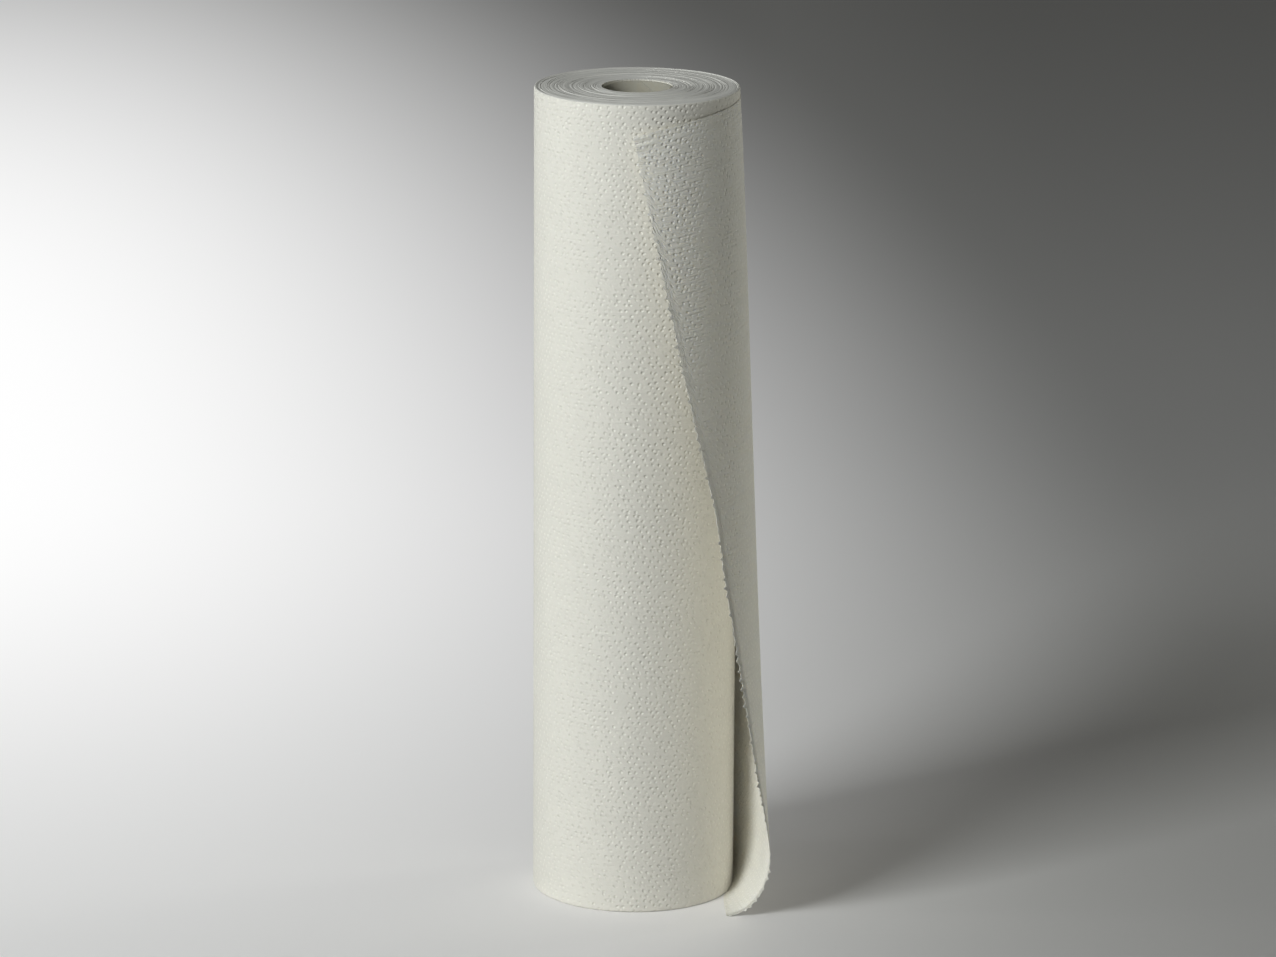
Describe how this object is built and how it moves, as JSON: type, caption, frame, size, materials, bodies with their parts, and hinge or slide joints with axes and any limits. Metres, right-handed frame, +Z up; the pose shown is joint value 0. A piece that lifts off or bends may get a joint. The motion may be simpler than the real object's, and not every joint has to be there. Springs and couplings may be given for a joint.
{
  "type": "exam table paper roll",
  "caption": "Wide roll of embossed white paper on a paperboard tube, standing on its end, with its last length come loose and flaring to the floor.",
  "frame": {"origin": "on the core's axis, in the plane of the end that the roll stands on", "axes": "+Z up along the core's axis; -Y faces the viewer, +X to the viewer's right, where the loose end flares"},
  "size_m": [0.1451, 0.1614, 0.5],
  "materials": {
    "paper": "matte, micro-embossed soft tissue",
    "paperboard": "matte, spiral-wound grey-brown board"
  },
  "bodies": {
    "root": {"paper_web": "paper", "core_tube": "paperboard"}
  },
  "joints": []
}
